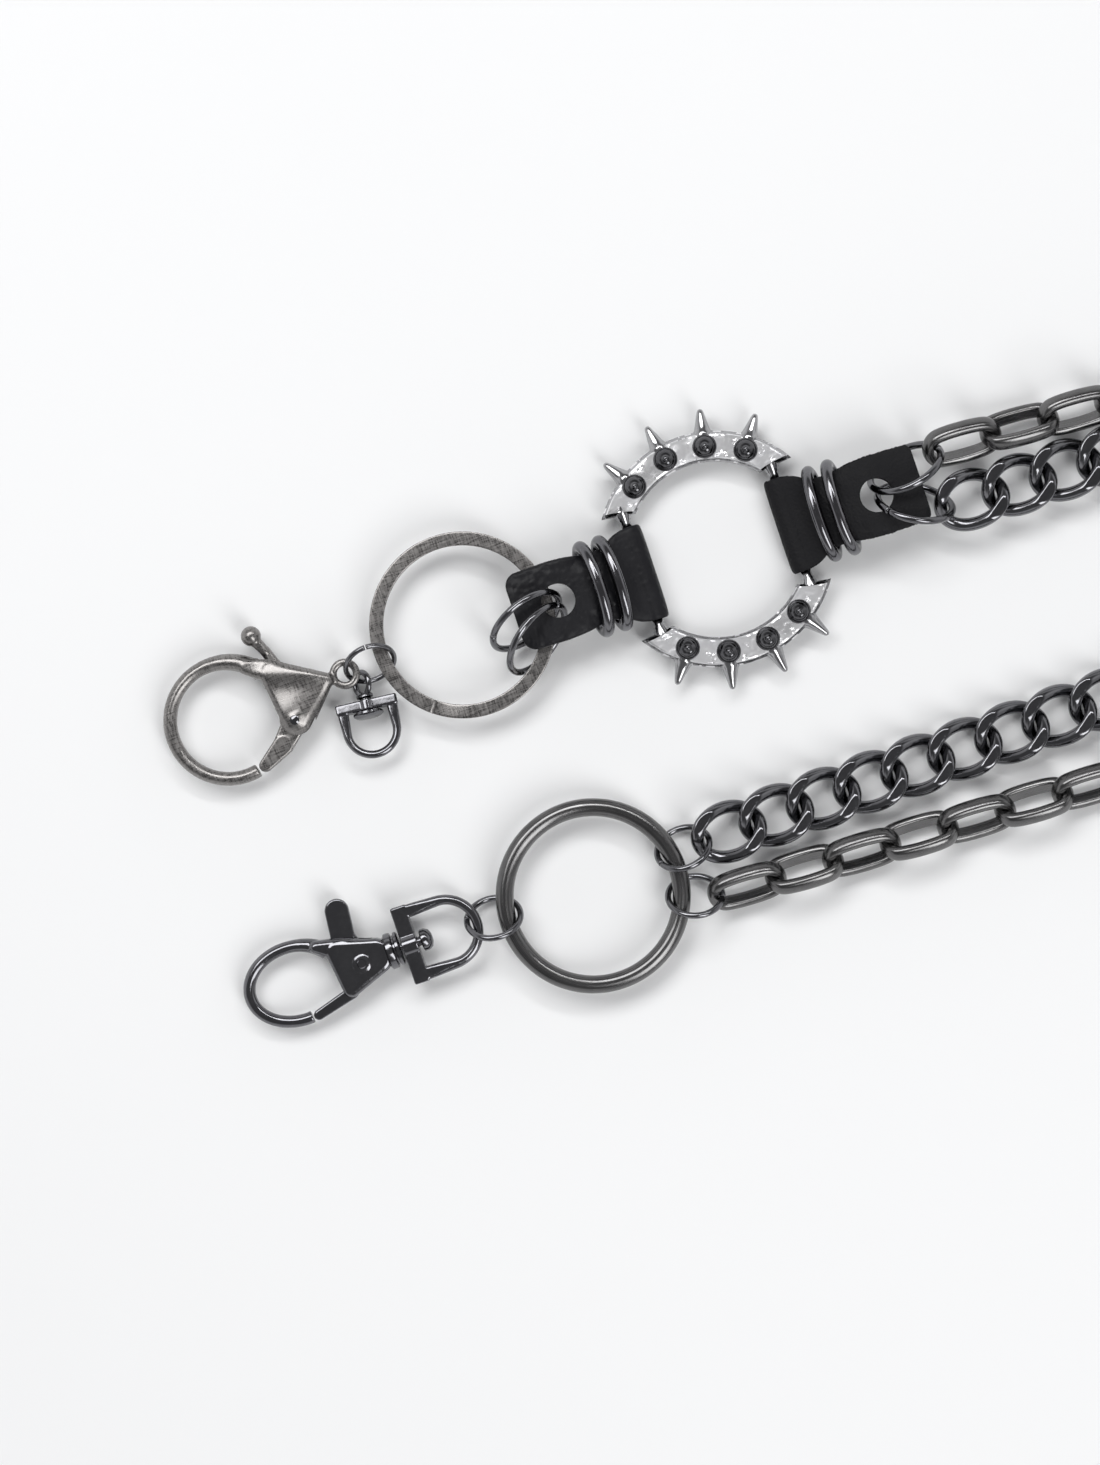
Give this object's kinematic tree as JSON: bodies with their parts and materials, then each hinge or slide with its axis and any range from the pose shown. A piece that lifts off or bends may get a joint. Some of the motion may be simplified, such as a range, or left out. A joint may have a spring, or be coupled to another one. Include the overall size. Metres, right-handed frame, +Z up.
{
  "type": "wallet chain",
  "caption": "Two strand metal jeans chain, curb and cable links side by side, with a spiked ring in leather straps, key rings and a clasp at each end.",
  "frame": {"origin": "middle of the doubled chain's footprint, on the surface that it lies on", "axes": "+X from the clasps towards the loop of the chain, +Z up from the surface, +Y from the small clasp's strand towards the spiked ring's side"},
  "size_m": [0.3594, 0.1774, 0.0156],
  "materials": {
    "gunmetal_gloss": "polished black nickel plating",
    "gunmetal_satin": "satin gunmetal plating with fine lengthwise lines",
    "dark_chrome": "bright hammered face, dark edges",
    "black_leather": "fine grained black leather, suede cut edges",
    "spring_steel": "drawn spring wire"
  },
  "bodies": {
    "chain_loop": {"curb_chain_run": "gunmetal_gloss", "cable_chain_run": "gunmetal_satin"},
    "lower_curb_link_1": {"lower_curb_link_1": "gunmetal_gloss"},
    "lower_curb_link_2": {"lower_curb_link_2": "gunmetal_gloss"},
    "lower_curb_link_3": {"lower_curb_link_3": "gunmetal_gloss"},
    "lower_curb_link_4": {"lower_curb_link_4": "gunmetal_gloss"},
    "lower_curb_link_5": {"lower_curb_link_5": "gunmetal_gloss"},
    "lower_curb_link_6": {"lower_curb_link_6": "gunmetal_gloss"},
    "lower_curb_link_7": {"lower_curb_link_7": "gunmetal_gloss"},
    "lower_curb_link_8": {"lower_curb_link_8": "gunmetal_gloss"},
    "lower_curb_link_9": {"lower_curb_link_9": "gunmetal_gloss"},
    "upper_curb_link_4": {"upper_curb_link_4": "gunmetal_gloss"},
    "upper_curb_link_3": {"upper_curb_link_3": "gunmetal_gloss"},
    "upper_curb_link_2": {"upper_curb_link_2": "gunmetal_gloss"},
    "upper_curb_link_1": {"upper_curb_link_1": "gunmetal_gloss"},
    "lower_cable_link_1": {"lower_cable_link_1": "gunmetal_satin"},
    "lower_cable_link_2": {"lower_cable_link_2": "gunmetal_satin"},
    "lower_cable_link_3": {"lower_cable_link_3": "gunmetal_satin"},
    "lower_cable_link_4": {"lower_cable_link_4": "gunmetal_satin"},
    "lower_cable_link_5": {"lower_cable_link_5": "gunmetal_satin"},
    "lower_cable_link_6": {"lower_cable_link_6": "gunmetal_satin"},
    "lower_cable_link_7": {"lower_cable_link_7": "gunmetal_satin"},
    "upper_cable_link_4": {"upper_cable_link_4": "gunmetal_satin"},
    "upper_cable_link_3": {"upper_cable_link_3": "gunmetal_satin"},
    "upper_cable_link_2": {"upper_cable_link_2": "gunmetal_satin"},
    "upper_cable_link_1": {"upper_cable_link_1": "gunmetal_satin"},
    "wire_ring": {"wire_ring": "gunmetal_satin"},
    "lower_ring_curb": {"lower_ring_curb": "gunmetal_gloss"},
    "lower_ring_cable": {"lower_ring_cable": "gunmetal_gloss"},
    "lower_jump_ring": {"lower_jump_ring": "gunmetal_gloss"},
    "small_clasp_d_loop": {"small_clasp_d_loop": "gunmetal_gloss"},
    "small_clasp_lever": {"small_clasp_lever": "gunmetal_gloss"},
    "chain_ring_cable": {"chain_ring_cable": "gunmetal_gloss"},
    "chain_ring_curb": {"chain_ring_curb": "gunmetal_gloss"},
    "right_strap": {"right_strap": "black_leather"},
    "right_strap_band_1": {"right_strap_band_1": "gunmetal_gloss"},
    "right_strap_band_2": {"right_strap_band_2": "gunmetal_gloss"},
    "spiked_ring": {"spiked_ring": "dark_chrome"},
    "left_strap": {"left_strap": "black_leather"},
    "left_strap_band_1": {"left_strap_band_1": "gunmetal_gloss"},
    "left_strap_band_2": {"left_strap_band_2": "gunmetal_gloss"},
    "strap_ring_1": {"strap_ring_1": "gunmetal_gloss"},
    "strap_ring_2": {"strap_ring_2": "gunmetal_gloss"},
    "flat_key_ring": {"flat_key_ring": "gunmetal_satin"},
    "clasp_jump_ring": {"clasp_jump_ring": "gunmetal_gloss"},
    "large_clasp_lever": {"large_clasp_lever": "gunmetal_gloss"},
    "swivel_eye": {"swivel_eye": "gunmetal_gloss"},
    "swivel_bail": {"swivel_bail": "gunmetal_gloss"},
    "small_clasp": {"small_clasp_body": "gunmetal_gloss", "small_clasp_rivet": "gunmetal_gloss", "small_clasp_lever_spring": "spring_steel"},
    "large_clasp": {"large_clasp_body": "gunmetal_gloss", "large_clasp_rivet": "gunmetal_gloss", "large_clasp_lever_spring": "spring_steel"}
  },
  "joints": [
    {"name": "lower_curb_link_1_roll", "type": "hinge", "parent": "chain_loop", "child": "lower_curb_link_1", "pos_m": [-0.07366, -0.05186, 0.00502], "axis": [0.943, 0.3302, -0.0408], "range_deg": [-3, 3]},
    {"name": "lower_curb_link_2_roll", "type": "hinge", "parent": "chain_loop", "child": "lower_curb_link_2", "pos_m": [-0.0648, -0.04875, 0.00464], "axis": [0.943, 0.3302, -0.0408], "range_deg": [-3, 3]},
    {"name": "lower_curb_link_3_roll", "type": "hinge", "parent": "chain_loop", "child": "lower_curb_link_3", "pos_m": [-0.05593, -0.04565, 0.00426], "axis": [0.943, 0.3302, -0.0408], "range_deg": [-3, 3]},
    {"name": "lower_curb_link_4_roll", "type": "hinge", "parent": "chain_loop", "child": "lower_curb_link_4", "pos_m": [-0.04707, -0.04255, 0.00387], "axis": [0.943, 0.3302, -0.0408], "range_deg": [-3, 3]},
    {"name": "lower_curb_link_5_roll", "type": "hinge", "parent": "chain_loop", "child": "lower_curb_link_5", "pos_m": [-0.03821, -0.03944, 0.00349], "axis": [0.943, 0.3302, -0.0408], "range_deg": [-3, 3]},
    {"name": "lower_curb_link_6_roll", "type": "hinge", "parent": "chain_loop", "child": "lower_curb_link_6", "pos_m": [-0.02934, -0.03634, 0.0033], "axis": [0.9438, 0.3305, -0.0002], "range_deg": [-3, 3]},
    {"name": "lower_curb_link_7_roll", "type": "hinge", "parent": "chain_loop", "child": "lower_curb_link_7", "pos_m": [-0.02047, -0.03323, 0.0033], "axis": [0.9438, 0.3305, 0], "range_deg": [-3, 3]},
    {"name": "lower_curb_link_8_roll", "type": "hinge", "parent": "chain_loop", "child": "lower_curb_link_8", "pos_m": [-0.01159, -0.03012, 0.0033], "axis": [0.9438, 0.3305, 0], "range_deg": [-3, 3]},
    {"name": "lower_curb_link_9_roll", "type": "hinge", "parent": "chain_loop", "child": "lower_curb_link_9", "pos_m": [-0.00272, -0.02702, 0.0033], "axis": [0.9438, 0.3305, 0], "range_deg": [-3, 3]},
    {"name": "upper_curb_link_4_roll", "type": "hinge", "parent": "chain_loop", "child": "upper_curb_link_4", "pos_m": [-0.00156, 0.01885, 0.0046], "axis": [-0.9508, -0.2998, 0.0778], "range_deg": [-3, 3]},
    {"name": "upper_curb_link_3_roll", "type": "hinge", "parent": "chain_loop", "child": "upper_curb_link_3", "pos_m": [-0.0105, 0.01603, 0.00533], "axis": [-0.9508, -0.2998, 0.0778], "range_deg": [-3, 3]},
    {"name": "upper_curb_link_2_roll", "type": "hinge", "parent": "chain_loop", "child": "upper_curb_link_2", "pos_m": [-0.01944, 0.01321, 0.00606], "axis": [-0.9508, -0.2998, 0.0778], "range_deg": [-3, 3]},
    {"name": "upper_curb_link_1_roll", "type": "hinge", "parent": "chain_loop", "child": "upper_curb_link_1", "pos_m": [-0.02838, 0.01039, 0.00679], "axis": [-0.9508, -0.2998, 0.0778], "range_deg": [-3, 3]},
    {"name": "lower_cable_link_1_roll", "type": "hinge", "parent": "chain_loop", "child": "lower_cable_link_1", "pos_m": [-0.07023, -0.06199, 0.0052], "axis": [0.9598, 0.2807, -0.0027], "range_deg": [-3, 3]},
    {"name": "lower_cable_link_2_roll", "type": "hinge", "parent": "chain_loop", "child": "lower_cable_link_2", "pos_m": [-0.05948, -0.05885, 0.00517], "axis": [0.9598, 0.2807, -0.0027], "range_deg": [-3, 3]},
    {"name": "lower_cable_link_3_roll", "type": "hinge", "parent": "chain_loop", "child": "lower_cable_link_3", "pos_m": [-0.04873, -0.0557, 0.00514], "axis": [0.9598, 0.2807, -0.0027], "range_deg": [-3, 3]},
    {"name": "lower_cable_link_4_roll", "type": "hinge", "parent": "chain_loop", "child": "lower_cable_link_4", "pos_m": [-0.03798, -0.05256, 0.00511], "axis": [0.9598, 0.2807, -0.0027], "range_deg": [-3, 3]},
    {"name": "lower_cable_link_5_roll", "type": "hinge", "parent": "chain_loop", "child": "lower_cable_link_5", "pos_m": [-0.02723, -0.04942, 0.00508], "axis": [0.9598, 0.2807, -0.0027], "range_deg": [-3, 3]},
    {"name": "lower_cable_link_6_roll", "type": "hinge", "parent": "chain_loop", "child": "lower_cable_link_6", "pos_m": [-0.01648, -0.04627, 0.00506], "axis": [0.9598, 0.2807, 0], "range_deg": [-3, 3]},
    {"name": "lower_cable_link_7_roll", "type": "hinge", "parent": "chain_loop", "child": "lower_cable_link_7", "pos_m": [-0.00573, -0.04313, 0.00506], "axis": [0.9598, 0.2807, 0], "range_deg": [-3, 3]},
    {"name": "upper_cable_link_4_roll", "type": "hinge", "parent": "chain_loop", "child": "upper_cable_link_4", "pos_m": [0.00219, 0.03, 0.00544], "axis": [-0.9627, -0.267, 0.0437], "range_deg": [-3, 3]},
    {"name": "upper_cable_link_3_roll", "type": "hinge", "parent": "chain_loop", "child": "upper_cable_link_3", "pos_m": [-0.00859, 0.02701, 0.00593], "axis": [-0.9627, -0.267, 0.0437], "range_deg": [-3, 3]},
    {"name": "upper_cable_link_2_roll", "type": "hinge", "parent": "chain_loop", "child": "upper_cable_link_2", "pos_m": [-0.01937, 0.02402, 0.00642], "axis": [-0.9627, -0.267, 0.0437], "range_deg": [-3, 3]},
    {"name": "upper_cable_link_1_roll", "type": "hinge", "parent": "chain_loop", "child": "upper_cable_link_1", "pos_m": [-0.03016, 0.02102, 0.00691], "axis": [-0.9627, -0.267, 0.0437], "range_deg": [-3, 3]},
    {"name": "wire_ring_turn", "type": "hinge", "parent": "chain_loop", "child": "wire_ring", "pos_m": [-0.09905, -0.06387, 0.00522], "axis": [0, 0, 1], "range_deg": [-20, 20]},
    {"name": "lower_ring_curb_roll", "type": "hinge", "parent": "chain_loop", "child": "lower_ring_curb", "pos_m": [-0.08218, -0.0549, 0.00522], "axis": [0.9135, 0.4067, 0], "range_deg": [-2, 2]},
    {"name": "lower_ring_cable_roll", "type": "hinge", "parent": "chain_loop", "child": "lower_ring_cable", "pos_m": [-0.07995, -0.06387, 0.00522], "axis": [0.9976, 0.0698, 0], "range_deg": [-2, 2]},
    {"name": "chain_ring_cable_roll", "type": "hinge", "parent": "chain_loop", "child": "chain_ring_cable", "pos_m": [-0.04076, 0.01614, 0.00779], "axis": [0.8343, 0.5418, -0.1022], "range_deg": [-2, 2]},
    {"name": "chain_ring_curb_roll", "type": "hinge", "parent": "chain_loop", "child": "chain_ring_curb", "pos_m": [-0.03903, 0.00963, 0.00779], "axis": [0.9893, -0.104, -0.1022], "range_deg": [-2, 2]},
    {"name": "lower_end_swing", "type": "hinge", "parent": "chain_loop", "child": "lower_jump_ring", "pos_m": [-0.09905, -0.06387, 0.00522], "axis": [0, 0, 1], "range_deg": [-10, 10]},
    {"name": "d_loop_swing", "type": "hinge", "parent": "lower_jump_ring", "child": "small_clasp_d_loop", "pos_m": [-0.1218, -0.06891, 0.00522], "axis": [0, 0, 1], "range_deg": [-6, 6]},
    {"name": "small_clasp_swivel", "type": "hinge", "parent": "small_clasp_d_loop", "child": "small_clasp", "pos_m": [-0.13333, -0.073, 0.00458], "axis": [-0.9444, -0.3252, -0.0482], "continuous": true},
    {"name": "small_clasp_lever_press", "type": "hinge", "parent": "small_clasp", "child": "small_clasp_lever", "pos_m": [-0.14227, -0.07649, 0.00411], "axis": [-0.0456, -0.0157, 0.9988], "range_deg": [-20, 0], "stiffness_Nm_per_rad": 0.02, "springref_deg": 14.9},
    {"name": "right_strap_swing", "type": "hinge", "parent": "chain_loop", "child": "right_strap", "pos_m": [-0.04628, 0.01095, 0.00925], "axis": [0, 0, 1], "range_deg": [-2, 2]},
    {"name": "spiked_ring_fold", "type": "hinge", "parent": "right_strap", "child": "spiked_ring", "pos_m": [-0.06204, 0.00573, 0.00395], "axis": [-0.314, 0.9494, 0], "range_deg": [0, 50]},
    {"name": "left_strap_fold", "type": "hinge", "parent": "spiked_ring", "child": "left_strap", "pos_m": [-0.08986, -0.00347, 0.00395], "axis": [-0.314, 0.9494, 0], "range_deg": [0, 20]},
    {"name": "right_strap_band_1_slide", "type": "slide", "parent": "right_strap", "child": "right_strap_band_1", "axis": [0.8741, 0.2891, 0.3903], "range_m": [-0.0006, 0.0006]},
    {"name": "right_strap_band_2_slide", "type": "slide", "parent": "right_strap", "child": "right_strap_band_2", "axis": [0.8741, 0.2891, 0.3903], "range_m": [-0.0006, 0.0006]},
    {"name": "left_strap_band_1_slide", "type": "slide", "parent": "left_strap", "child": "left_strap_band_1", "axis": [-0.8741, -0.2891, 0.3903], "range_m": [-0.0006, 0.0006]},
    {"name": "left_strap_band_2_slide", "type": "slide", "parent": "left_strap", "child": "left_strap_band_2", "axis": [-0.8741, -0.2891, 0.3903], "range_m": [-0.0006, 0.0006]},
    {"name": "strap_ring_1_roll", "type": "hinge", "parent": "left_strap", "child": "strap_ring_1", "pos_m": [-0.11163, -0.01239, 0.0083], "axis": [-0.7645, -0.6415, -0.0637], "range_deg": [-2, 2]},
    {"name": "strap_ring_2_roll", "type": "hinge", "parent": "left_strap", "child": "strap_ring_2", "pos_m": [-0.10952, -0.01578, 0.0083], "axis": [-0.5724, -0.8175, -0.0637], "range_deg": [-2, 2]},
    {"name": "flat_key_ring_turn", "type": "hinge", "parent": "left_strap", "child": "flat_key_ring", "pos_m": [-0.12352, -0.01314, 0.00583], "axis": [-0.0466, -0.0116, 0.9988], "range_deg": [-6, 6]},
    {"name": "clasp_ring_travel", "type": "hinge", "parent": "left_strap", "child": "clasp_jump_ring", "pos_m": [-0.12352, -0.01314, 0.00583], "axis": [-0.0466, -0.0116, 0.9988], "range_deg": [-8, 8]},
    {"name": "large_clasp_swing", "type": "hinge", "parent": "clasp_jump_ring", "child": "large_clasp", "pos_m": [-0.1456, -0.02229, 0.00505], "axis": [-0.0377, -0.015, 0.9992], "range_deg": [-8, 8]},
    {"name": "large_clasp_lever_press", "type": "hinge", "parent": "large_clasp", "child": "large_clasp_lever", "pos_m": [-0.15476, -0.03088, 0.00457], "axis": [-0.0377, -0.015, 0.9992], "range_deg": [-18, 0], "stiffness_Nm_per_rad": 0.02, "springref_deg": 14.9},
    {"name": "swivel_swing", "type": "hinge", "parent": "clasp_jump_ring", "child": "swivel_eye", "pos_m": [-0.14254, -0.02413, 0.00221], "axis": [-0.7818, -0.0683, 0.6198], "range_deg": [-5, 5]},
    {"name": "swivel_bail_turn", "type": "hinge", "parent": "swivel_eye", "child": "swivel_bail", "pos_m": [-0.14161, -0.02816, 0.00294], "axis": [0.2215, -0.9596, 0.1736], "continuous": true}
  ]
}
